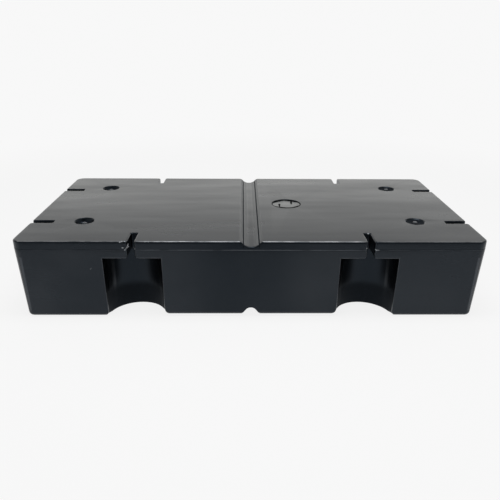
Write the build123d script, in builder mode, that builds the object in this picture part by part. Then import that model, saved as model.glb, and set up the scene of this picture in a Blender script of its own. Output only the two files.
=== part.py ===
from build123d import *
import math
import os

# A foam-filled polyethylene float drum for a floating dock, moulded in one piece.
# Millimetres. The origin is under the middle of the drum, on the ground it stands on.
# X runs along the drum, Y across it and Z up. The long front side faces -Y.

# Block
length = 1219.0
width = 610.0
height = 221.0
corner_radius = 26.0
wall_draft = 2.8
base_edge_radius = 12.0

# Deck band, the flat top part of the moulding above the parting line
deck_band_height = 20.5
deck_edge_radius = 4.0
parting_gap_height = 1.8
parting_gap_depth = 1.2

# Bolt slots through the deck edge, two on each side of the drum
long_side_slot_x = 307.0
end_slot_y = 155.0
slot_width = 17.5
slot_length = 62.0
slot_end_radius = 4.0
slot_mouth_radius = 8.0
slot_flare_radius = 10.0
slot_flare_margin = 1.0

# Bolt pockets in the side walls, one under each slot, open at the front and below
ledge_thickness = 47.0
pocket_radius = 75.5
pocket_depth = 82.0
pocket_rim_radius = 2.5
pocket_foot_radius = 8.0
pocket_foot_overlap = 0.4
pocket_foot_rise = 1.0

# The underside between the long sides' pockets stands a little higher than the two ends
base_relief = 4.5
ramp_margin = 4.0
ramp_bend_radius = 150.0

# Stiffening groove across the deck. A steep crease runs along each of its sloping walls.
deck_groove_depth = 14.5
deck_groove_top_width = 57.0
deck_groove_floor_width = 16.0
deck_groove_shoulder_radius = 12.0
deck_groove_floor_radius = 18.0
crease_upper_width = 43.0
crease_upper_depth = 5.0
crease_lower_width = 39.0
crease_lower_depth = 8.5
crease_radius = 3.0

# Stiffening groove across the underside
base_groove_depth = 22.0
base_groove_top_width = 44.0
base_groove_floor_width = 16.0
base_groove_shoulder_radius = 14.0
base_groove_floor_radius = 8.0

# Dished recesses in the deck, each with a vent plug standing in it. The right-hand pair
# is shallower.
dish_end_inset = 146.0
dish_front_inset = 156.0
dish_back_inset = 127.0
dish_diameter = 54.0
left_dish_depth = 13.0
right_dish_depth = 4.5
dish_wall_slope = 18.0
dish_floor_bevel = 2.5
dish_rim_bevel = 1.2
vent_hole_diameter = 9.0
vent_hole_depth = 22.0
plug_head_diameter = 13.0
left_plug_head_height = 8.0
right_plug_head_height = 3.8
plug_head_bevel = 1.5
plug_shank_length = 20.0
plug_shank_clearance = 0.2

# Filling port, cut in the deck and closed by welding its disc back in. The disc leans:
# it is flush with the deck at its front edge and sinks towards its back edge.
port_x = 112.0
port_y = 12.0
port_diameter = 88.0
port_disc_thickness = 6.0
port_disc_lean = 2.0
port_weld_gap = 0.3
port_weld_vee = 1.5

deck_z = height
parting_z = deck_z - deck_band_height
body_top_z = parting_z - parting_gap_height
ledge_z = deck_z - ledge_thickness
half_length = length / 2
half_width = width / 2
dish_x = half_length - dish_end_inset
dish_front_y = dish_front_inset - half_width
dish_back_y = half_width - dish_back_inset
half_slot = slot_width / 2
flared_half_slot = half_slot + slot_mouth_radius
dishes = [
    ("front_left", -dish_x, dish_front_y, left_dish_depth, left_plug_head_height),
    ("front_right", dish_x, dish_front_y, right_dish_depth, right_plug_head_height),
    ("back_left", -dish_x, dish_back_y, left_dish_depth, left_plug_head_height),
    ("back_right", dish_x, dish_back_y, right_dish_depth, right_plug_head_height),
]

# Where each slot and its pocket open on the side: local +Y points into the drum
slot_mouths = [
    *[Location((x, -half_width), 0) for x in (-long_side_slot_x, long_side_slot_x)],
    *[Location((x, half_width), 180) for x in (-long_side_slot_x, long_side_slot_x)],
    *[Location((-half_length, y), -90) for y in (-end_slot_y, end_slot_y)],
    *[Location((half_length, y), 90) for y in (-end_slot_y, end_slot_y)],
]

# The upper face of the filling port's disc
port_sink = port_diameter / 2 * math.tan(math.radians(port_disc_lean))
port_face = Location((port_x, port_y, deck_z - port_sink), (-port_disc_lean, 0, 0))

# The underside climbs to its relief on two ramps, each under a pair of long-side pockets
ramp_half_run = pocket_radius + pocket_foot_radius + ramp_margin
ramp_inner_x = long_side_slot_x - ramp_half_run
ramp_outer_x = long_side_slot_x + ramp_half_run
ramp_slope = math.degrees(math.atan2(base_relief, 2 * ramp_half_run))
foot_wall_x = pocket_radius - pocket_foot_overlap
foot_edge_x = ramp_half_run - ramp_margin / 2
pocket_feet = [
    *[
        Location((x, side * half_width, base_relief / 2), (0, math.copysign(ramp_slope, x), turn))
        for x in (-long_side_slot_x, long_side_slot_x)
        for side, turn in ((-1, 0), (1, 180))
    ],
    *[Location((-half_length, y, 0), (0, 0, -90)) for y in (-end_slot_y, end_slot_y)],
    *[Location((half_length, y, 0), (0, 0, 90)) for y in (-end_slot_y, end_slot_y)],
]


def at_height(shape, z):
    """Edges that lie flat at one height."""
    return shape.edges().filter_by_position(Axis.Z, z - 0.01, z + 0.01)


def base_rim(shape):
    """The edge all round the base, without the bends that cross the underside."""
    low = shape.edges().filter_by(lambda edge: edge.bounding_box().max.Z < base_relief + 0.01)
    return low.filter_by(lambda edge: abs(edge.center().Y) > 1 or abs(edge.center().X) > ramp_outer_x + 1)


def pocket_rims(shape):
    """The edges where the pockets cut the drafted wall, above the rounding of the base."""
    rims = ShapeList()
    for edge in shape.edges().filter_by_position(Axis.Z, base_edge_radius - 1, ledge_z + 0.01):
        inset = (body_top_z - edge.center().Z) * math.tan(math.radians(wall_draft))
        for mouth in slot_mouths:
            seen = (mouth.inverse() * Location(edge.center())).position
            if abs(seen.X) < pocket_radius + 1 and abs(seen.Y - inset) < 0.5:
                rims.append(edge)
    return rims


def deck_rim(shape):
    """The edges of the deck, without the long edges of its groove."""
    return at_height(shape, deck_z).filter_by(
        lambda edge: edge.geom_type != GeomType.LINE or abs(edge.length - width) > 1
    )


def pocket_outline(radius):
    """One pocket seen from above: a half round that runs straight out of the side."""
    with BuildSketch() as outline:
        with Locations((0, pocket_depth - pocket_radius)):
            Circle(radius)
            Rectangle(2 * radius, pocket_depth, align=(Align.CENTER, Align.MAX))
    return outline.sketch


def groove_section(widths, depths, radii):
    """Cross-section of a groove, drawn with its floor up, from its corners on one wall."""
    run = widths[0] / 2 + 2 * radii[0]
    wall = [(across / 2, depth) for across, depth in zip(widths, depths)]
    with BuildSketch() as section:
        with BuildLine():
            line = FilletPolyline(
                (-run, 0),
                *[(-x, depth) for x, depth in wall],
                *reversed(wall),
                (run, 0),
                radius=(*radii, *reversed(radii)),
            )
            Polyline(line @ 1, (run, -radii[0]), (-run, -radii[0]), line @ 0)
        make_face()
    return section.sketch


def flared_cutter(outline, plate_half_width, plate_half_depth, radius, rise):
    """A column that stands on a plate and flares into it, to be cut from below."""
    with BuildPart() as cutter:
        with BuildSketch(Plane.XY.offset(-radius)):
            Rectangle(2 * plate_half_width, 2 * plate_half_depth)
        extrude(amount=radius)
        with BuildSketch(Plane.XY):
            add(outline)
        extrude(amount=rise)
        root = at_height(cutter, 0).filter_by(
            lambda edge: abs(edge.center().X) < plate_half_width - 0.1
            and abs(edge.center().Y) < plate_half_depth - 0.1
        )
        fillet(root, radius)
    return cutter.part


def slot_end():
    """Both sides and the square inner end of a slot, with its two corners eased."""
    corner_y = slot_length - slot_end_radius
    corner_x = half_slot - slot_end_radius
    for side in (-1, 1):
        Line((side * half_slot, slot_mouth_radius), (side * half_slot, corner_y))
        Bezier(
            (side * half_slot, corner_y),
            (side * half_slot, slot_length),
            (side * corner_x, slot_length),
        )
    Line((-corner_x, slot_length), (corner_x, slot_length))


# Outline of one slot in the deck, opening out at its mouth
with BuildSketch() as slot_outline:
    with BuildLine():
        slot_end()
        for side in (-1, 1):
            Bezier(
                (side * half_slot, slot_mouth_radius),
                (side * half_slot, 0),
                (side * flared_half_slot, 0),
            )
            Line((side * flared_half_slot, 0), (side * flared_half_slot, -slot_mouth_radius))
        Line((-flared_half_slot, -slot_mouth_radius), (flared_half_slot, -slot_mouth_radius))
    make_face()

# The same slot without its mouth, for the flare where it meets the ledge of the pocket
with BuildSketch() as straight_slot:
    with BuildLine():
        slot_end()
        for side in (-1, 1):
            Line((side * half_slot, slot_mouth_radius), (side * half_slot, -slot_length))
        Line((-half_slot, -slot_length), (half_slot, -slot_length))
    make_face()

# Cutter for the foot of one pocket, where its wall turns under the drum
with BuildPart() as pocket_foot:
    with BuildSketch(Plane.XZ) as foot_profile:
        with BuildLine():
            foot_curve = Bezier(
                (foot_wall_x, pocket_foot_radius),
                (foot_wall_x, 0),
                (foot_wall_x + pocket_foot_radius, 0),
            )
            Polyline(
                foot_curve @ 1,
                (foot_edge_x, 0),
                (foot_edge_x, -pocket_foot_radius),
                (0, -pocket_foot_radius),
                (0, pocket_foot_radius + pocket_foot_rise),
                (foot_wall_x, pocket_foot_radius + pocket_foot_rise),
                foot_curve @ 0,
            )
        make_face()
    revolve(axis=Axis.Z, revolution_arc=180)
    with BuildSketch(Plane.XZ):
        add(foot_profile.sketch_local)
        mirror(foot_profile.sketch_local, about=Plane.YZ)
    extrude(amount=pocket_depth)

# Cutter for one slot below the deck band, flared where it opens into its pocket
slot_flare = flared_cutter(
    straight_slot.sketch,
    half_slot + slot_flare_radius + slot_flare_margin,
    slot_length + slot_flare_radius + slot_flare_margin,
    slot_flare_radius,
    parting_z - ledge_z,
)

with BuildPart() as drum_shell:
    # Deck band, neck at the parting line and drafted body
    with BuildSketch(Plane.XY.offset(parting_z)):
        RectangleRounded(length, width, corner_radius)
    extrude(amount=deck_band_height)
    with BuildSketch(Plane.XY.offset(parting_z)):
        RectangleRounded(
            length - 2 * parting_gap_depth,
            width - 2 * parting_gap_depth,
            corner_radius - parting_gap_depth,
        )
    extrude(amount=-parting_gap_height)
    with BuildSketch(-Plane.XY.offset(body_top_z)):
        RectangleRounded(length, width, corner_radius)
    extrude(amount=body_top_z, taper=wall_draft)

    # Relief of the underside, then the rounding all round the base
    with BuildSketch(Plane.XZ.offset(-half_width)):
        with BuildLine():
            relief_line = FilletPolyline(
                (-half_length, 0),
                (-ramp_outer_x, 0),
                (-ramp_inner_x, base_relief),
                (ramp_inner_x, base_relief),
                (ramp_outer_x, 0),
                (half_length, 0),
                radius=ramp_bend_radius,
            )
            Polyline(
                relief_line @ 1,
                (half_length, -base_relief),
                (-half_length, -base_relief),
                relief_line @ 0,
            )
        make_face()
    extrude(amount=width, mode=Mode.SUBTRACT)
    fillet(base_rim(drum_shell), base_edge_radius)

    # Pockets, with softened rims and rounded feet
    with BuildSketch(Plane.XY):
        with Locations(*slot_mouths):
            add(pocket_outline(pocket_radius))
    extrude(amount=ledge_z, mode=Mode.SUBTRACT)
    fillet(pocket_rims(drum_shell), pocket_rim_radius)
    with Locations(*pocket_feet):
        add(pocket_foot.part.moved(Pos(0, pocket_depth - pocket_radius, 0)), mode=Mode.SUBTRACT)

    # Deck groove
    with BuildSketch(Plane.XZ.offset(-half_width)):
        with Locations((0, deck_z)):
            add(
                groove_section(
                    (deck_groove_top_width, crease_upper_width, crease_lower_width, deck_groove_floor_width),
                    (0, crease_upper_depth, crease_lower_depth, deck_groove_depth),
                    (deck_groove_shoulder_radius, crease_radius, crease_radius, deck_groove_floor_radius),
                ),
                rotation=180,
            )
    extrude(amount=width, mode=Mode.SUBTRACT)

    # Slots through the deck band, then the rounded edge that runs round the deck and into them
    with BuildSketch(Plane.XY.offset(deck_z)):
        with Locations(*slot_mouths):
            add(slot_outline.sketch)
    extrude(amount=-deck_band_height, mode=Mode.SUBTRACT)
    fillet(deck_rim(drum_shell), deck_edge_radius)

    # The slots below the band, flared where they open into the pockets
    with Locations(*[Pos(0, 0, ledge_z) * mouth for mouth in slot_mouths]):
        add(slot_flare, mode=Mode.SUBTRACT)
    with BuildSketch(Plane.XY.offset(parting_z)):
        with Locations(*slot_mouths):
            add(slot_outline.sketch)
    extrude(amount=ledge_z - parting_z, mode=Mode.SUBTRACT)

    # Groove across the underside
    with BuildSketch(Plane.XZ.offset(-half_width)):
        with Locations((0, base_relief)):
            add(
                groove_section(
                    (base_groove_top_width, base_groove_floor_width),
                    (0, base_groove_depth),
                    (base_groove_shoulder_radius, base_groove_floor_radius),
                )
            )
    extrude(amount=width, mode=Mode.SUBTRACT)

    # Dished recesses with their vent holes
    for name, x, y, depth, head in dishes:
        with Locations((x, y, deck_z)):
            Cone(
                dish_diameter / 2 - depth * math.tan(math.radians(dish_wall_slope)),
                dish_diameter / 2,
                depth,
                align=(Align.CENTER, Align.CENTER, Align.MAX),
                mode=Mode.SUBTRACT,
            )
    for depth in (left_dish_depth, right_dish_depth):
        chamfer(at_height(drum_shell, deck_z - depth), dish_floor_bevel)
    dish_rims = at_height(drum_shell, deck_z).filter_by(GeomType.CIRCLE)
    chamfer(dish_rims.filter_by(lambda edge: abs(edge.radius - dish_diameter / 2) < 0.01), dish_rim_bevel)
    for name, x, y, depth, head in dishes:
        with Locations((x, y, deck_z - depth)):
            Hole(vent_hole_diameter / 2, depth=vent_hole_depth)

    # Leaning seat of the filling port, with one side of the weld vee
    with Locations(port_face):
        Cylinder(port_diameter / 2, 2 * port_disc_thickness, mode=Mode.SUBTRACT)
    chamfer(at_height(drum_shell, deck_z).filter_by(GeomType.ELLIPSE), port_weld_vee)

# Disc of the filling port, lying in its seat with the other side of the weld vee
with BuildPart() as fill_port_disc:
    with BuildSketch(Plane(port_face)):
        Circle(port_diameter / 2 - port_weld_gap)
    extrude(amount=-port_disc_thickness)
    chamfer(fill_port_disc.edges().group_by(Axis.Z)[-1], port_weld_vee)

export_dir = "parts"
os.makedirs(export_dir, exist_ok=True)
pieces = {"drum_shell": drum_shell, "fill_port_disc": fill_port_disc}

# Vent plugs, pressed into the holes in the dish floors, with a bevelled head
for name, x, y, depth, head in dishes:
    with BuildPart() as vent_plug:
        with BuildSketch(Plane.XY.offset(deck_z - depth)):
            with Locations((x, y)):
                Circle(plug_head_diameter / 2)
        extrude(amount=head)
        chamfer(at_height(vent_plug, deck_z - depth + head), plug_head_bevel)
        with BuildSketch(Plane.XY.offset(deck_z - depth)):
            with Locations((x, y)):
                Circle(vent_hole_diameter / 2 - plug_shank_clearance)
        extrude(amount=-plug_shank_length)
    pieces["vent_plug_" + name] = vent_plug

for name, piece in pieces.items():
    piece.part.label = name
    export_step(piece.part, f"{export_dir}/{name}.step")
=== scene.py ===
import math

import bmesh
import bpy
from mathutils import Matrix, Vector, noise


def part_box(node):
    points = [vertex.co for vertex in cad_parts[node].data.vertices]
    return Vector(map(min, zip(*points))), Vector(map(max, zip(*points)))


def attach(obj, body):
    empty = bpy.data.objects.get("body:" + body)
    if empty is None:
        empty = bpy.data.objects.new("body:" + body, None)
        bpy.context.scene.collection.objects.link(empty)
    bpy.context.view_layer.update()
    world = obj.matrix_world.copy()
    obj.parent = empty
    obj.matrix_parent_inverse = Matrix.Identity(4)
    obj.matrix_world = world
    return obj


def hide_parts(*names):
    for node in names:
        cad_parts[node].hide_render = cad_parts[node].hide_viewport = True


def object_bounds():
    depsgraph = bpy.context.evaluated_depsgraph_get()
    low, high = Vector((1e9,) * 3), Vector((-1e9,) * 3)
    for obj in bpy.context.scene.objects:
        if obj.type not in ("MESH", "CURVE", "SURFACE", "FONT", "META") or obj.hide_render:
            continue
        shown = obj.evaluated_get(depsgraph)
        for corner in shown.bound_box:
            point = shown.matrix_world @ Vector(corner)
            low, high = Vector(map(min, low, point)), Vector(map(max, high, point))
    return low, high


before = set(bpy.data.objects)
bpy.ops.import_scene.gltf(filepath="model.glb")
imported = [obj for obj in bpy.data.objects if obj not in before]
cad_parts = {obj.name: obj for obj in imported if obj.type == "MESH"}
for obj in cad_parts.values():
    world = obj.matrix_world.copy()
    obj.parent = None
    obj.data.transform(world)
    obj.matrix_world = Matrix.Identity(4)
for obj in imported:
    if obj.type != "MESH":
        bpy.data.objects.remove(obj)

cad_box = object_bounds()


# Drum shell
# The float's body is one black polyethylene moulding, filled with foam. Its skin follows
# the mould a little unevenly, so the glossy deck shows soft streaks along its length. The
# walls are a slightly paler grey in places, and the deck's edges, the pockets' rims and the
# parting line carry painted highlights.

# Measures of the drum, as part.py has them. SEAM_Z is the middle of the narrow gap at the
# parting line, LIP_Z the edge of the walls under it, and LEDGE_Z the ceiling of the pockets.
HALF_LENGTH, HALF_WIDTH, DECK_Z = cad_box[1]
SEAM_Z = DECK_Z - 0.0214
LIP_Z = DECK_Z - 0.0226
LEDGE_Z = DECK_Z - 0.047
WALL_LEAN = math.radians(2.8)
WALL_DRAFT = math.tan(WALL_LEAN)
SLOT_X = 0.307
SLOT_Y = 0.155
POCKET_RADIUS = 0.0755
POCKET_STRAIGHT = 0.0065

# The plastic: colour, gloss, the streaks of its skin and a fine grain
SHELL_BLACK = (0.0016, 0.0019, 0.0025)
# The bluish tint on the plastic's reflections is a painted reflection of a bluish sky
SKY_BLUE_REFLECTION_TINT = (0.44, 0.56, 0.70)
SHELL_IOR = 1.43
SHELL_ROUGHNESS = (0.27, 0.33)
STREAK_SIZE = 0.09
STREAK_STRETCH = 0.22
STREAK_HEIGHT = 0.0009
GRAIN_SIZE = 0.003
GRAIN_HEIGHT = 0.0000010
NOISE_RANGE = (0.3, 0.7)
SPOT_EDGE = (0.6, 1.1)


def smooth_range(tree, value, low, high, to_low=0.0, to_high=1.0):
    """A node output that goes softly from to_low to to_high while value goes from low to high."""
    node = tree.nodes.new("ShaderNodeMapRange")
    node.interpolation_type = "SMOOTHSTEP"
    limits = {"From Min": low, "From Max": high, "To Min": to_low, "To Max": to_high}
    for socket, number in limits.items():
        node.inputs[socket].default_value = number
    tree.links.new(value, node.inputs["Value"])
    return node.outputs["Result"]


class Finish:
    """A material in the making. Its places are the part's own coordinates, in metres."""

    def __init__(self, name):
        self.material = bpy.data.materials.new(name)
        self.material.use_nodes = True
        self.tree = self.material.node_tree
        self.shader = self.tree.nodes["Principled BSDF"]
        self.place = self.tree.nodes.new("ShaderNodeTexCoord").outputs["Object"]
        # The roughness of the bare skin, to which dull places are added
        self.gloss = None

    def feed(self, value, socket):
        """Give a socket a number, a colour or the output of another node."""
        if isinstance(value, (int, float)):
            socket.default_value = value
        elif isinstance(value, tuple):
            socket.default_value = (*value, 1)
        else:
            self.tree.links.new(value, socket)

    def give(self, inputs):
        """Feed inputs of the shader, found by their names."""
        for name, value in inputs.items():
            self.feed(value, self.shader.inputs[name])

    def noise(self, size, detail=2.0, rough=0.5, stretch=(1, 1, 1)):
        mapping = self.tree.nodes.new("ShaderNodeMapping")
        mapping.inputs["Scale"].default_value = stretch
        self.feed(self.place, mapping.inputs["Vector"])
        node = self.tree.nodes.new("ShaderNodeTexNoise")
        node.inputs["Scale"].default_value = 1 / size
        node.inputs["Detail"].default_value = detail
        node.inputs["Roughness"].default_value = rough
        self.feed(mapping.outputs["Vector"], node.inputs["Vector"])
        return node.outputs["Fac"]

    def remap(self, value, *limits):
        return smooth_range(self.tree, value, *limits)

    def fade(self, value, low, high):
        """1 up to low, softly down to 0 at high."""
        return self.remap(value, low, high, 1.0, 0.0)

    def compute(self, operation, a, b=0.0):
        node = self.tree.nodes.new("ShaderNodeMath")
        node.operation = operation
        self.feed(a, node.inputs[0])
        self.feed(b, node.inputs[1])
        return node.outputs["Value"]

    def product(self, first, *others):
        for other in others:
            first = self.compute("MULTIPLY", first, other)
        return first

    def larger(self, a, b):
        return self.compute("MAXIMUM", a, b)

    def minus(self, a, b):
        return self.compute("SUBTRACT", a, b)

    def gap(self, value, level):
        """How far value is from level, either way."""
        return self.compute("ABSOLUTE", self.minus(value, level))

    def axes(self):
        node = self.tree.nodes.new("ShaderNodeSeparateXYZ")
        self.feed(self.place, node.inputs["Vector"])
        return node.outputs

    def vector(self, operation, value, other=(0, 0, 0)):
        node = self.tree.nodes.new("ShaderNodeVectorMath")
        node.operation = operation
        self.feed(value, node.inputs[0])
        node.inputs[1].default_value = other
        return node.outputs

    def spot(self, place, reach):
        """1 inside a small soft ellipsoid at place, 0 outside it."""
        offset = self.vector("SUBTRACT", self.place, place)["Vector"]
        squeezed = self.vector("DIVIDE", offset, reach)["Vector"]
        return self.fade(self.vector("LENGTH", squeezed)["Value"], *SPOT_EDGE)

    def blend(self, amount, first, second):
        node = self.tree.nodes.new("ShaderNodeMix")
        node.data_type = "RGBA"
        # The colour sockets share their names with others, so they are found by number
        self.feed(amount, node.inputs["Factor"])
        self.feed(first, node.inputs[6])
        self.feed(second, node.inputs[7])
        return node.outputs[2]

    def bump(self, height):
        node = self.tree.nodes.new("ShaderNodeBump")
        node.inputs["Strength"].default_value = 1.0
        node.inputs["Distance"].default_value = 1.0
        self.feed(height, node.inputs["Height"])
        self.give({"Normal": node.outputs["Normal"]})


def black_polyethylene(name, roughness, streak_height):
    """The drum's plastic without wear. Streaks run along the drum."""
    finish = Finish(name)
    along = (STREAK_STRETCH, 1, 1)
    gloss_noise = finish.noise(STREAK_SIZE, detail=3.0, stretch=along)
    finish.gloss = finish.remap(gloss_noise, *NOISE_RANGE, *roughness)
    finish.give({
        "Base Color": SHELL_BLACK,
        "IOR": SHELL_IOR,
        "Specular Tint": SKY_BLUE_REFLECTION_TINT,
        "Roughness": finish.gloss,
    })
    streak = finish.product(finish.noise(STREAK_SIZE, detail=1.5, stretch=along), streak_height)
    grain = finish.product(finish.noise(GRAIN_SIZE), GRAIN_HEIGHT)
    finish.bump(finish.compute("ADD", streak, grain))
    return finish


def dress(piece, material):
    piece.data.materials.clear()
    piece.data.materials.append(material)


# Where a point of the drum lies: its place along and up the drum, how far it is inside the
# drum's plan, and its depth behind the drafted wall
skin = black_polyethylene("drum_skin", SHELL_ROUGHNESS, STREAK_HEIGHT)
axes = skin.axes()
along = axes["X"]
height = axes["Z"]
from_middle = skin.compute("ABSOLUTE", along)
to_side = skin.minus(HALF_WIDTH, skin.compute("ABSOLUTE", axes["Y"]))
to_end = skin.minus(HALF_LENGTH, from_middle)
to_outside = skin.compute("MINIMUM", to_side, to_end)
below_seam = skin.larger(skin.minus(SEAM_Z, height), 0.0)
depth = skin.minus(to_outside, skin.product(below_seam, WALL_DRAFT))

# A paler grey on the walls: less of it on the deck's band, in the middle of the long sides,
# high up and towards the right-hand end. Every range says between which two measures a value
# changes, and then from what to what.
WALL_PALE_GREY = (0.0228, 0.0238, 0.0254)
PALING_DEPTH = (0.0012, 0.0035)
BAND_PALING = (SEAM_Z - 0.006, SEAM_Z - 0.002, 1.0, 0.46)
PALING_TOP = (DECK_Z - 0.007, DECK_Z - 0.004)
PALING_PATCH_SIZE = 0.30
PALING_PATCHES = (0.35, 0.65, 0.45, 0.95)
MIDDLE_PALING = (0.05, 0.17, 0.38, 1.0)
UPPER_PALING = (0.05, 0.17, 1.0, 0.84)
RIGHT_PALING = (0.15, 0.40, 1.0, 0.84)
wall_paling = skin.product(
    skin.fade(depth, *PALING_DEPTH),
    skin.remap(height, *BAND_PALING),
    skin.fade(height, *PALING_TOP),
    skin.remap(skin.noise(PALING_PATCH_SIZE, detail=3.0), *PALING_PATCHES),
    skin.remap(from_middle, *MIDDLE_PALING),
    skin.remap(height, *UPPER_PALING),
    skin.remap(along, *RIGHT_PALING),
)
colour = skin.blend(wall_paling, SHELL_BLACK, WALL_PALE_GREY)

# The underside and the lower parts of the pockets are duller
INSIDE_DEPTH = (0.0035, 0.0075)
UNDER_BAND = (SEAM_Z - 0.014, SEAM_Z - 0.006)
LOW_ROUGHNESS = (0.055, 0.095, 0.75, 0.0)
dull = skin.product(
    skin.remap(depth, *INSIDE_DEPTH),
    skin.fade(height, *UNDER_BAND),
    skin.remap(height, *LOW_ROUGHNESS),
)

# Dirt lies in the creases of the deck groove, and its shoulders and walls are rubbed a
# little dull: distance from the drum's middle, the range that is dull, and how rough it is
DECK_ONLY = (DECK_Z - 0.018, DECK_Z - 0.017)
GROOVE_LINES = (
    (0.0202, 0.0009, 0.0022, 0.95),
    (0.0248, 0.0030, 0.0050, 0.40),
    (0.0140, 0.0045, 0.0065, 0.37),
)
on_deck = skin.remap(height, *DECK_ONLY)
for line_x, near, far, roughness in GROOVE_LINES:
    line = skin.remap(skin.gap(from_middle, line_x), near, far, roughness, 0.0)
    dull = skin.larger(dull, skin.product(line, on_deck))

# The floors of the two shallow dishes on the right are dull
DISH_REACH = (0.040, 0.040, 0.040)
DISH_ROUGHNESS = (DECK_Z - 0.0030, DECK_Z - 0.0022, 0.85, 0.0)
for corner in ("front_right", "back_right"):
    plug_low, plug_high = (Vector(point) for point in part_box(f"vent_plug_{corner}"))
    dish_middle = (plug_low + plug_high) / 2
    dish = skin.spot((dish_middle.x, dish_middle.y, DECK_Z), DISH_REACH)
    dull = skin.larger(dull, skin.product(dish, skin.remap(height, *DISH_ROUGHNESS)))
skin.give({"Roughness": skin.larger(skin.gloss, dull)})

# The rims of the pockets, and the edges over them, carry a painted highlight of paler grey
RIM_HIGHLIGHT_AND_FLASH_GREY = (0.050, 0.053, 0.058)
RIM_OUTER = (0.0002, 0.0005)
RIM_INNER = (0.0016, 0.0024)
RIM_BOTTOM = (0.014, 0.022)
RIM_TOP = (LEDGE_Z + 0.0015, LEDGE_Z + 0.0035)
LEDGE_HIGHLIGHT_Z = LEDGE_Z + 0.0014
LEDGE_HIGHLIGHT_RANGE = (0.0010, 0.0024, 0.7, 0.0)
OVER_POCKET = (POCKET_RADIUS - 0.002, POCKET_RADIUS + 0.002)
rim_highlight = skin.product(
    skin.remap(depth, *RIM_OUTER),
    skin.fade(depth, *RIM_INNER),
    skin.remap(height, *RIM_BOTTOM),
    skin.fade(height, *RIM_TOP),
)
colour = skin.blend(rim_highlight, colour, RIM_HIGHLIGHT_AND_FLASH_GREY)
ledge_highlight = skin.product(
    skin.remap(skin.gap(height, LEDGE_HIGHLIGHT_Z), *LEDGE_HIGHLIGHT_RANGE),
    skin.fade(skin.gap(from_middle, SLOT_X), *OVER_POCKET),
    skin.fade(depth, *RIM_INNER),
)
# Painted highlight along the ledge's edge over each pocket
colour = skin.blend(ledge_highlight, colour, RIM_HIGHLIGHT_AND_FLASH_GREY)

# Painted highlight as a pale line along the parting line, strongest in the middle of the sides
SEAM_HIGHLIGHT_GREY = (0.090, 0.096, 0.105)
SEAM_HALF = (0.0006, 0.0012)
SEAM_DEPTH = (0.0020, 0.0040)
SEAM_BREAK_SIZE = 0.05
SEAM_BREAKS = (0.35, 0.6, 0.4, 1.0)
SEAM_REACH = (0.31, 0.34, 1.0, 0.35)
seam_highlight = skin.product(
    skin.fade(skin.gap(height, LIP_Z), *SEAM_HALF),
    skin.fade(depth, *SEAM_DEPTH),
    skin.remap(skin.noise(SEAM_BREAK_SIZE, detail=3.0), *SEAM_BREAKS),
    skin.remap(from_middle, *SEAM_REACH),
)
# The parting line takes the painted highlight's pale grey
colour = skin.blend(seam_highlight, colour, SEAM_HIGHLIGHT_GREY)

# Painted highlight along the deck's rounded edge, strongest in the middle of the sides, and a
# fainter painted highlight on the strip of deck beside it
EDGE_HIGHLIGHT_GREY = (0.60, 0.61, 0.63)
EDGE_HIGHLIGHT_START = (0.00002, 0.00012)
EDGE_HIGHLIGHT_END = (0.0004, 0.0009)
EDGE_HIGHLIGHT_WIDTH = (0.0036, 0.0042)
DECK_HIGHLIGHT_DROP = (0.00005, 0.0003)
DECK_HIGHLIGHT_WIDTH = (0.005, 0.011, 0.08, 0.0)
EDGE_HIGHLIGHT_REACH = (0.268, 0.292, 1.0, 0.3)
EDGE_HIGHLIGHT_BREAK_SIZE = 0.03
EDGE_HIGHLIGHT_BREAKS = (0.32, 0.6, 0.35, 1.0)
drop = skin.minus(DECK_Z, height)
edge_highlight = skin.product(
    skin.remap(drop, *EDGE_HIGHLIGHT_START),
    skin.fade(drop, *EDGE_HIGHLIGHT_END),
    skin.fade(to_outside, *EDGE_HIGHLIGHT_WIDTH),
)
deck_highlight = skin.product(
    skin.fade(drop, *DECK_HIGHLIGHT_DROP),
    skin.remap(to_outside, *DECK_HIGHLIGHT_WIDTH),
)
edge_and_deck_highlight = skin.product(
    skin.larger(edge_highlight, deck_highlight),
    skin.remap(from_middle, *EDGE_HIGHLIGHT_REACH),
    skin.remap(skin.noise(EDGE_HIGHLIGHT_BREAK_SIZE, detail=4.0, rough=0.6), *EDGE_HIGHLIGHT_BREAKS),
)
# The edge and the strip beside it take the painted highlight's pale grey
colour = skin.blend(edge_and_deck_highlight, colour, EDGE_HIGHLIGHT_GREY)

# Small pale chips round the mouths of the two front slots, and one faint mark on the front
# wall: place, with its height counted from the deck, and reach. The spots on the deck's
# rounded edge and at the inner end of the right front slot are partly painted highlight.
CHIP_AND_HIGHLIGHT_WHITE = (0.26, 0.27, 0.28)
CHIPS_AND_HIGHLIGHT_SPECKS = (
    ((-0.3265, -0.305, -0.0165), (0.0032, 0.004, 0.0018)),
    ((-0.3215, -0.305, -0.0222), (0.0022, 0.004, 0.0024)),
    ((-0.2977, -0.301, -0.0202), (0.0024, 0.005, 0.0026)),
    # These five spots on the deck's rounded edge are partly painted highlight specks
    ((-0.3327, -0.304, -0.0015), (0.0022, 0.004, 0.0020)),
    ((-0.3280, -0.302, -0.0004), (0.0022, 0.004, 0.0010)),
    ((-0.3204, -0.301, -0.0006), (0.0020, 0.003, 0.0010)),
    ((-0.2690, -0.303, -0.0004), (0.0030, 0.004, 0.0010)),
    ((-0.2605, -0.303, -0.0004), (0.0022, 0.003, 0.0010)),
    ((0.3205, -0.305, -0.0222), (0.0028, 0.004, 0.0022)),
    ((0.3250, -0.305, -0.0224), (0.0030, 0.004, 0.0009)),
    ((0.2955, -0.303, -0.0180), (0.0022, 0.005, 0.0020)),
    # Painted highlight on the rounded inner end of the right front slot
    ((0.3105, -0.2425, -0.0005), (0.0026, 0.003, 0.0030)),
)
CHIP_AND_HIGHLIGHT_STRENGTH = 1.0
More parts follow.
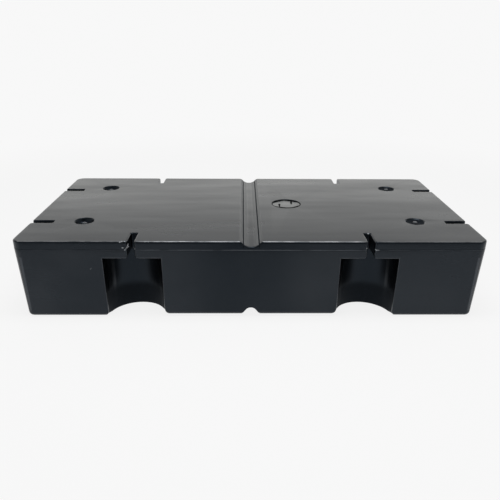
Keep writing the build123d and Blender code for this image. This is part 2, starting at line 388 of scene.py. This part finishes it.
WALL_MARKS = (
    ((-0.4152, -0.302, -0.0772), (0.0016, 0.006, 0.0022)),
    ((-0.4130, -0.302, -0.0750), (0.0014, 0.006, 0.0018)),
)
WALL_MARK_STRENGTH = 0.27
for spots, strength in ((CHIPS_AND_HIGHLIGHT_SPECKS, CHIP_AND_HIGHLIGHT_STRENGTH), (WALL_MARKS, WALL_MARK_STRENGTH)):
    marks = 0.0
    for (x, y, below), reach in spots:
        marks = skin.larger(marks, skin.spot((x, y, DECK_Z + below), reach))
    colour = skin.blend(skin.product(marks, strength), colour, CHIP_AND_HIGHLIGHT_WHITE)
skin.give({"Base Color": colour})


def add_piece(name, data):
    piece = bpy.data.objects.new(name, data)
    bpy.context.scene.collection.objects.link(piece)
    return piece


def mesh_piece(name, shape):
    """A new piece from a bmesh, which is freed."""
    mesh = bpy.data.meshes.new(name)
    shape.to_mesh(mesh)
    shape.free()
    return add_piece(name, mesh)


def skin_over(shape, rings, closed=False):
    """Add faces over rings of equal size, one after the other, capped unless the run is closed."""
    loops = [[shape.verts.new(point) for point in ring] for ring in rings]
    for first, second in zip(loops, loops[1:] + loops[:1] if closed else loops[1:]):
        for side in range(len(first)):
            after = (side + 1) % len(first)
            shape.faces.new((first[side], first[after], second[after], second[side]))
    if not closed:
        shape.faces.new(reversed(loops[0]))
        shape.faces.new(loops[-1])


def curve_points(corners, steps):
    """Points along the Bezier curve that the corners control."""
    points = []
    for step in range(steps + 1):
        level = [Vector(corner) for corner in corners]
        while len(level) > 1:
            level = [a.lerp(b, step / steps) for a, b in zip(level, level[1:])]
        points.append(level[0])
    return points


# The lower corners of the pockets are rounded at the walls, and the groove under the drum
# flares out at its mouths. Both curves run outwards and down, as distance and height, one
# from the pocket's side and one from the groove's middle. The fades say what share of the
# curve is left at a distance inwards from the wall. The hollows that cut these forms out
# reach past the drum by the last three values.
BASE_RELIEF = 0.0045
FOOT_CURVE = ((-0.001, 0.030), (0.001, 0.012), (0.0035, 0.004), (0.020, -0.0004))
FOOT_FADE = (
    (-0.003, 1.0),
    (0.015, 1.0),
    (0.022, 0.85),
    (0.029, 0.65),
    (0.036, 0.45),
    (0.043, 0.25),
)
INNER_FOOT = 1.0
OUTER_FOOT = 0.75
NOTCH_CURVE = ((0.0, 0.0275), (0.014, 0.0285), (0.016, 0.012), (0.031, 0.0025))
NOTCH_FADE = ((-0.003, 1.0), (0.018, 1.0), (0.028, 0.75), (0.040, 0.5))
CURVE_STEPS = 12
HOLLOW_BELOW = -0.012
HOLLOW_BESIDE = -0.004
HOLLOW_ABOVE = 0.002


def foot_sections(side, base, share):
    """Sections of the hollow that rounds one lower corner of a pocket, from the wall inwards."""
    top, foot = FOOT_CURVE[0], FOOT_CURVE[-1]
    outline = curve_points(FOOT_CURVE, CURVE_STEPS)
    outline.append(Vector((foot[0], HOLLOW_BELOW)))
    outline.append(Vector((HOLLOW_BESIDE, HOLLOW_BELOW)))
    outline.append(Vector((HOLLOW_BESIDE, top[1] + HOLLOW_ABOVE)))
    sections = []
    for inward, left in FOOT_FADE:
        size = left * share
        past_straight = max(inward - POCKET_STRAIGHT, 0)
        wall = math.sqrt(POCKET_RADIUS**2 - past_straight**2)
        sections.append([(side * (wall + p.x * size), inward, base + p.y * size) for p in outline])
    return sections


def notch_sections():
    """Sections of the flare at one end of the groove under the drum."""
    half = curve_points(NOTCH_CURVE, CURVE_STEPS)
    outline = [Vector((-point.x, point.y)) for point in reversed(half[1:])] + half
    foot_x = NOTCH_CURVE[-1][0]
    outline += [Vector((foot_x, HOLLOW_BELOW)), Vector((-foot_x, HOLLOW_BELOW))]
    return [[(p.x * size, inward, p.y) for p in outline] for inward, size in NOTCH_FADE]


def mouth(x, y, turn):
    """The place of a mouth's middle on its wall, turned so that local +Y points inwards."""
    return Matrix.Translation((x, y, 0)) @ Matrix.Rotation(turn, 4, "Z")


hollows = bmesh.new()
pocket_mouths = []
for x in (-SLOT_X, SLOT_X):
    pocket_mouths += [(x, -HALF_WIDTH, 0), (x, HALF_WIDTH, math.pi)]
for x, turn in ((-HALF_LENGTH, -math.pi / 2), (HALF_LENGTH, math.pi / 2)):
    pocket_mouths += [(x, -SLOT_Y, turn), (x, SLOT_Y, turn)]
for x, y, turn in pocket_mouths:
    place = mouth(x, y, turn)
    for side in (-1, 1):
        # Only the long sides' inner feet stand beside the raised middle of the underside
        beside_middle = abs((place @ Vector((side * POCKET_RADIUS, 0, 0))).x) < SLOT_X
        if beside_middle and abs(x) < HALF_LENGTH:
            rings = foot_sections(side, BASE_RELIEF, INNER_FOOT)
        else:
            rings = foot_sections(side, 0.0, OUTER_FOOT)
        skin_over(hollows, [[place @ Vector(point) for point in ring] for ring in rings])
for y, turn in ((-HALF_WIDTH, 0), (HALF_WIDTH, math.pi)):
    place = mouth(0, y, turn)
    skin_over(hollows, [[place @ Vector(point) for point in ring] for ring in notch_sections()])
bmesh.ops.recalc_face_normals(hollows, faces=hollows.faces)
hollow_piece = mesh_piece("foot_hollows", hollows)

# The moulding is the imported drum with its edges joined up, less those hollows
WELD_DISTANCE = 0.000002
SHARP_ANGLE = math.radians(32)
EVEN_WEIGHT = 60
moulding_shape = bmesh.new()
moulding_shape.from_mesh(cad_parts["drum_shell"].data)
bmesh.ops.remove_doubles(moulding_shape, verts=moulding_shape.verts, dist=WELD_DISTANCE)
moulding = mesh_piece("drum_moulding", moulding_shape)
cut = moulding.modifiers.new("rounded_feet", "BOOLEAN")
cut.operation = "DIFFERENCE"
cut.solver = "EXACT"
cut.object = hollow_piece


def settle(piece):
    """The piece's modifiers become part of its mesh."""
    seen = piece.evaluated_get(bpy.context.evaluated_depsgraph_get())
    piece.data = bpy.data.meshes.new_from_object(seen)
    piece.modifiers.clear()


settle(moulding)
bpy.data.objects.remove(hollow_piece)
moulding.data.shade_smooth()
moulding.data.set_sharp_from_angle(angle=SHARP_ANGLE)
even = moulding.modifiers.new("even_shading", "WEIGHTED_NORMAL")
even.mode = "FACE_AREA"
even.weight = EVEN_WEIGHT
even.keep_sharp = True
settle(moulding)

# Each flat wall gets one normal. The thin triangles left by the cuts would show otherwise.
FLAT_WITHIN = 0.00007
FLAT_BELOW = SEAM_Z - 0.002
walls = []
for turn in (0, math.pi / 2, math.pi, -math.pi / 2):
    outward = Vector((math.cos(turn), math.sin(turn), 0))
    reach = abs(outward.x) * HALF_LENGTH + abs(outward.y) * HALF_WIDTH
    normal = outward * math.cos(WALL_LEAN) - Vector((0, 0, math.sin(WALL_LEAN)))
    walls.append((outward, reach, normal))


def wall_depth(point, outward, reach):
    """How far a point below the parting line is behind the wall that faces outward."""
    return reach - (SEAM_Z - point.z) * WALL_DRAFT - point.dot(outward)


def wall_normal(points):
    """The normal of the wall in which all the points lie, or None."""
    if max(point.z for point in points) > FLAT_BELOW:
        return None
    for outward, reach, normal in walls:
        if all(abs(wall_depth(point, outward, reach)) < FLAT_WITHIN for point in points):
            return normal
    return None


corner_normals = [corner.vector.copy() for corner in moulding.data.corner_normals]
for face in moulding.data.polygons:
    normal = wall_normal([moulding.data.vertices[index].co for index in face.vertices])
    if normal:
        for corner in face.loop_indices:
            corner_normals[corner] = normal
moulding.data.normals_split_custom_set(corner_normals)
dress(moulding, skin.material)
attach(moulding, "root")
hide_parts("drum_shell")


# Filling port
# The disc that was cut out for filling the drum with foam is laid back in and welded
# by hand, so its rim is uneven. Two drips of the weld have run in over the disc.
PORT_ROUGHNESS = (0.30, 0.40)
PORT_DUST = (0.085, 0.086, 0.084)
PORT_DUST_SIZE = 0.02
PORT_DUST_RANGE = (0.25, 0.7, 0.55, 1.0)
PORT_LEAN = math.radians(2.0)
BEAD_IOR = 1.2
BEAD_GAP_SHADE_TINT = (0.40, 0.42, 0.45)
BEAD_ROUGHNESS = (0.75, 0.95)
BEAD_PATCH_SIZE = 0.004
BEAD_GRAIN_SIZE = 0.002
BEAD_GRAIN_HEIGHT = 0.0002
port_low, port_high = (Vector(corner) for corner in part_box("fill_port_disc"))
port_middle = (port_low + port_high) / 2
port_radius = (port_high.x - port_low.x) / 2

port_skin = black_polyethylene("port_skin", PORT_ROUGHNESS, STREAK_HEIGHT)
dust = port_skin.remap(port_skin.noise(PORT_DUST_SIZE, detail=4.0), *PORT_DUST_RANGE)
port_skin.give({"Base Color": port_skin.blend(dust, SHELL_BLACK, PORT_DUST)})
dress(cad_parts["fill_port_disc"], port_skin.material)

# The weld is dark and dull, with a dim grey tint on its reflections and a low IOR: partly the
# weld's own finish, partly painted shade of the gap round the disc
bead_skin = Finish("weld_bead_skin")
bead_patches = bead_skin.noise(BEAD_PATCH_SIZE, detail=3.0)
bead_skin.give({
    "Base Color": SHELL_BLACK,
    "IOR": BEAD_IOR,
    "Specular Tint": BEAD_GAP_SHADE_TINT,
    "Roughness": bead_skin.remap(bead_patches, *NOISE_RANGE, *BEAD_ROUGHNESS),
})
bead_grain = bead_skin.noise(BEAD_GRAIN_SIZE, detail=3.0)
bead_skin.bump(bead_skin.product(bead_grain, BEAD_GRAIN_HEIGHT))

# The bead swells where the weld was laid on thicker: direction from the disc's middle and
# spread in degrees, and how much wider it is there
BEAD_STATIONS = 180
BEAD_SIDES = 10
BEAD_HALF_WIDTH = 0.0015
BEAD_FLATNESS = 0.42
BEAD_LIFT = 0.0004
BEAD_PROUD = 0.0006
BEAD_SWELLS = (
    (128, 28, 0.0036),
    (72, 14, 0.0034),
    (48, 12, 0.0034),
    (-50, 22, 0.0034),
    (-97, 24, 0.0037),
    (-122, 12, 0.0020),
)
# By how much its path, its width and its swells are uneven, and how quickly each varies
WOBBLE = 0.0009
WOBBLE_NOISE = 4.0
UNEVEN_WIDTH = 0.35
WIDTH_NOISE = 9.0
UNEVEN_SWELL = 0.3
SWELL_NOISE = 7.0


def disc_top(y):
    """Height of the leaning disc's face at one place across the drum."""
    return DECK_Z - (y - port_middle.y + port_radius) * math.tan(PORT_LEAN)


def bead_ring(middle, outward, half_width):
    """One flat oval section of the bead, across its run."""
    ring = []
    for side in range(BEAD_SIDES):
        turn = 2 * math.pi * side / BEAD_SIDES
        rise = Vector((0, 0, math.sin(turn) * half_width * BEAD_FLATNESS))
        ring.append(middle + outward * math.cos(turn) * half_width + rise)
    return ring


def bead_piece(name, rings, closed):
    shape = bmesh.new()
    skin_over(shape, rings, closed)
    bmesh.ops.recalc_face_normals(shape, faces=shape.faces)
    for face in shape.faces:
        face.smooth = True
    piece = mesh_piece(name, shape)
    dress(piece, bead_skin.material)
    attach(piece, "root")


weld_rings = []
for station in range(BEAD_STATIONS):
    angle = 2 * math.pi * station / BEAD_STATIONS
    outward = Vector((math.cos(angle), math.sin(angle), 0))
    half_width = BEAD_HALF_WIDTH * (1 + UNEVEN_WIDTH * noise.noise(outward * WIDTH_NOISE))
    uneven_swell = 1 + UNEVEN_SWELL * noise.noise(outward * SWELL_NOISE)
    for towards, spread, swell in BEAD_SWELLS:
        off = (math.degrees(angle) - towards + 180) % 360 - 180
        half_width += swell * math.exp(-((off / spread) ** 2)) * uneven_swell
    wobble = WOBBLE * noise.noise(outward * WOBBLE_NOISE)
    reach = port_radius - half_width + BEAD_HALF_WIDTH + wobble
    middle = Vector((port_middle.x, port_middle.y, 0)) + outward * reach
    highest = DECK_Z + BEAD_PROUD - half_width * BEAD_FLATNESS
    middle.z = min(disc_top(middle.y) + BEAD_LIFT, highest)
    weld_rings.append(bead_ring(middle, outward, half_width))
bead_piece("weld_bead", weld_rings, closed=True)

# The drips: start, bend and end of each, from the disc's middle, and half of its width
DRIPS = (
    ((0.0185, 0.040), (0.0172, 0.020), (0.0160, -0.002), 0.0036),
    ((-0.0210, -0.001), (-0.0215, -0.014), (-0.0225, -0.030), 0.0030),
)
DRIP_STEPS = 12
DRIP_TAPER = 0.6
DRIP_LIFT = 0.0002
DRIP_BELOW_DECK = 0.00005
UNEVEN_DRIP = 0.25
DRIP_NOISE = 200
for number, (*corners, half_width) in enumerate(DRIPS):
    drip_rings = []
    for step, place in enumerate(curve_points(corners, DRIP_STEPS)):
        x, y = port_middle.x + place.x, port_middle.y + place.y
        uneven = 1 + UNEVEN_DRIP * noise.noise(Vector((x, y, number)) * DRIP_NOISE)
        width_here = half_width * (1 - DRIP_TAPER * (step / DRIP_STEPS) ** 2) * uneven
        highest = DECK_Z - width_here * BEAD_FLATNESS - DRIP_BELOW_DECK
        middle = Vector((x, y, min(disc_top(y) + DRIP_LIFT, highest)))
        drip_rings.append(bead_ring(middle, Vector((1, 0, 0)), width_here))
    bead_piece(f"weld_drip_{number + 1}", drip_rings, closed=False)


# Flash at the bolt slots
# The slots are sawn and trimmed by hand after moulding, which leaves short threads of
# stretched, whitened plastic at the corners of the two front slots.
FLASH_WHITE = (0.42, 0.44, 0.46)
FLASH_ROUGHNESS = 0.6
FLASH_PATCH_SIZE = 0.003
FLASH_PATCHES = (0.5, 1.0)
FLASH_THREADS = (
    ((-0.3121, -0.3010, -0.0060), (-0.3140, -0.3038, -0.0135), (-0.3199, -0.3040, -0.0205), 0.0010),
    ((-0.3110, -0.3020, -0.0125), (-0.3132, -0.3036, -0.0150), (-0.3170, -0.3040, -0.0190), 0.0009),
    ((0.3205, -0.3034, -0.0220), (0.3180, -0.3034, -0.0210), (0.3165, -0.3020, -0.0216), 0.0009),
)
FLASH_TAPER = (0.5, 1.0, 0.3)
flash_skin = Finish("flash_skin")
flash_noise = flash_skin.noise(FLASH_PATCH_SIZE, detail=3.0)
flash_tone = flash_skin.remap(flash_noise, *NOISE_RANGE, *FLASH_PATCHES)
flash_skin.give({
    "Base Color": flash_skin.blend(flash_tone, RIM_HIGHLIGHT_AND_FLASH_GREY, FLASH_WHITE),
    "Roughness": FLASH_ROUGHNESS,
})
for number, (*places, half_width) in enumerate(FLASH_THREADS):
    line = bpy.data.curves.new(f"flash_thread_{number + 1}", "CURVE")
    line.dimensions = "3D"
    line.bevel_depth = half_width
    line.bevel_resolution = 2
    line.use_fill_caps = True
    spline = line.splines.new("NURBS")
    spline.points.add(len(places) - 1)
    for point, (x, y, below), taper in zip(spline.points, places, FLASH_TAPER):
        point.co = (x, y, DECK_Z + below, 1)
        point.radius = taper
    spline.order_u = 3
    spline.use_endpoint_u = True
    thread = add_piece(line.name, line)
    dress(thread, flash_skin.material)
    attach(thread, "root")


# Vent plugs
# Small pressed-in plugs close the vent holes in the floors of the four dishes. They are
# moulded in the same plastic and are a paler grey than the drum.
PLUG_GREY = (0.070, 0.072, 0.075)
PLUG_ROUGHNESS = (0.45, 0.55)
plug_skin = black_polyethylene("plug_skin", PLUG_ROUGHNESS, 0.0)
plug_skin.give({"Base Color": PLUG_GREY})
for node_name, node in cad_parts.items():
    if node_name.startswith("vent_plug"):
        dress(node, plug_skin.material)


# Setting
# A pale floor under soft light, seen from the photograph's side. The floor keeps the
# drum's shadow and fades into a pale background.
BACKGROUND = 0.937
FLOOR_GREY = 0.80
FLOOR_HALF = 60.0
FLOOR_SHADING = 0.10
FLOOR_SHADED_REACH = (2.3, 2.3, 1.0)


def flat_sheet(name, corners):
    mesh = bpy.data.meshes.new(name)
    mesh.from_pydata(corners, [], [(0, 1, 2, 3)])
    sheet = add_piece(name, mesh)
    return sheet


def plain_shader(tree, kind, grey):
    node = tree.nodes.new(kind)
    node.inputs["Color"].default_value = (grey, grey, grey, 1)
    return node.outputs[0]


def mix_shaders(tree, amount, first, second):
    node = tree.nodes.new("ShaderNodeMixShader")
    for source, socket in zip((amount, first, second), node.inputs):
        tree.links.new(source, socket)
    return node.outputs[0]


# Seen directly or in a reflection, the floor has the background's own brightness and a
# little of the drum's shading near the drum. It lights the drum as plain paper does.
floor_corners = ((-1, -1), (1, -1), (1, 1), (-1, 1))
floor = flat_sheet("floor", [(x * FLOOR_HALF, y * FLOOR_HALF, 0) for x, y in floor_corners])
floor_finish = Finish("floor_paper")
floor_tree = floor_finish.tree
floor_tree.nodes.remove(floor_finish.shader)
floor_near = floor_finish.product(
    floor_finish.spot((0, 0, 0), FLOOR_SHADED_REACH),
    FLOOR_SHADING,
)
floor_seen = mix_shaders(
    floor_tree,
    floor_near,
    plain_shader(floor_tree, "ShaderNodeEmission", BACKGROUND),
    plain_shader(floor_tree, "ShaderNodeBsdfDiffuse", BACKGROUND),
)
rays = floor_tree.nodes.new("ShaderNodeLightPath").outputs
floor_direct = floor_finish.larger(rays["Is Camera Ray"], rays["Is Glossy Ray"])
floor_direct = floor_finish.larger(floor_direct, rays["Is Transmission Ray"])
floor_paper = plain_shader(floor_tree, "ShaderNodeBsdfDiffuse", FLOOR_GREY)
floor_look = mix_shaders(floor_tree, floor_direct, floor_paper, floor_seen)
floor_tree.links.new(floor_look, floor_tree.nodes["Material Output"].inputs["Surface"])
dress(floor, floor_finish.material)

# Two upright screens in front of the drum, seen only in reflections: half of the width,
# the place towards the camera, bottom, top and grey of each
SCREENS = (
    ("dark_card", 1.3, -0.86, 0.002, 0.30, 0.50),
    ("dark_hood", 0.5, -0.85, 0.22, 0.75, 0.03),
)
for name, half, y, bottom, top, grey in SCREENS:
    corners = [(-half, y, bottom), (half, y, bottom), (half, y, top), (-half, y, top)]
    screen = flat_sheet(name, corners)
    screen_finish = Finish(name)
    screen_finish.give({"Base Color": (grey, grey, grey), "Roughness": 1.0})
    dress(screen, screen_finish.material)
    screen.visible_camera = False
    screen.visible_diffuse = False
    screen.visible_shadow = False
    screen.visible_transmission = False

# The sky is pale at the horizon and darker overhead
SKY_OVERHEAD = 0.43
SKY_FADE = (0.22, 0.44)
world = bpy.data.worlds.new("studio")
bpy.context.scene.world = world
world.use_nodes = True
sky_tree = world.node_tree
sky = sky_tree.nodes["Background"]
sky_place = sky_tree.nodes.new("ShaderNodeTexCoord")
sky_axes = sky_tree.nodes.new("ShaderNodeSeparateXYZ")
sky_tree.links.new(sky_place.outputs["Generated"], sky_axes.inputs["Vector"])
sky_level = smooth_range(sky_tree, sky_axes.outputs["Z"], *SKY_FADE, BACKGROUND, SKY_OVERHEAD)
sky_tree.links.new(sky_level, sky.inputs["Strength"])
sky.inputs["Color"].default_value = (1, 1, 1, 1)


def soft_lamp(name, place, aim, size, power, colour):
    light = bpy.data.lights.new(name, "AREA")
    light.shape = "RECTANGLE"
    light.size, light.size_y = size
    light.energy = power
    light.color = colour
    lamp = add_piece(name, light)
    lamp.location = place
    lamp.rotation_euler = (Vector(aim) - Vector(place)).to_track_quat("-Z", "Y").to_euler()
    lamp.visible_camera = False


soft_lamp(
    "overhead",
    place=(0.05, -0.35, 2.2),
    aim=(0.05, -0.35, 0),
    size=(1.4, 0.7),
    power=30,
    colour=(1, 1, 1),
)
soft_lamp(
    "behind",
    place=(0, 3.0, 0.80),
    aim=(0, 0, 0.2),
    size=(6.0, 1.0),
    power=15.5,
    colour=(1.0, 0.99, 0.93),
)

# The camera stands where the photograph was taken from, as fitted to the drum's outline
CAMERA_PLACE = Vector((-0.02327, -1.5471, 0.7221))
CAMERA_PITCH = math.radians(22.836)
CAMERA_YAW = math.radians(0.9135)
CAMERA_ROLL = math.radians(0.4234)
FOCAL_PIXELS = 529.0
FRAME_PIXELS = 500.0
SENSOR_WIDTH = 36.0
camera_data = bpy.data.cameras.new("camera")
camera_data.sensor_width = SENSOR_WIDTH
camera_data.lens = FOCAL_PIXELS / FRAME_PIXELS * SENSOR_WIDTH
camera = add_piece("camera", camera_data)
forward = Vector((
    math.sin(CAMERA_YAW) * math.cos(CAMERA_PITCH),
    math.cos(CAMERA_YAW) * math.cos(CAMERA_PITCH),
    -math.sin(CAMERA_PITCH),
))
level_right = Vector((math.cos(CAMERA_YAW), -math.sin(CAMERA_YAW), 0))
level_up = level_right.cross(forward)
right = level_right * math.cos(CAMERA_ROLL) + level_up * math.sin(CAMERA_ROLL)
up = level_up * math.cos(CAMERA_ROLL) - level_right * math.sin(CAMERA_ROLL)
turn = Matrix((right, up, -forward)).transposed().to_4x4()
camera.matrix_world = Matrix.Translation(CAMERA_PLACE) @ turn
bpy.context.scene.camera = camera
bpy.context.scene.view_settings.view_transform = "Standard"
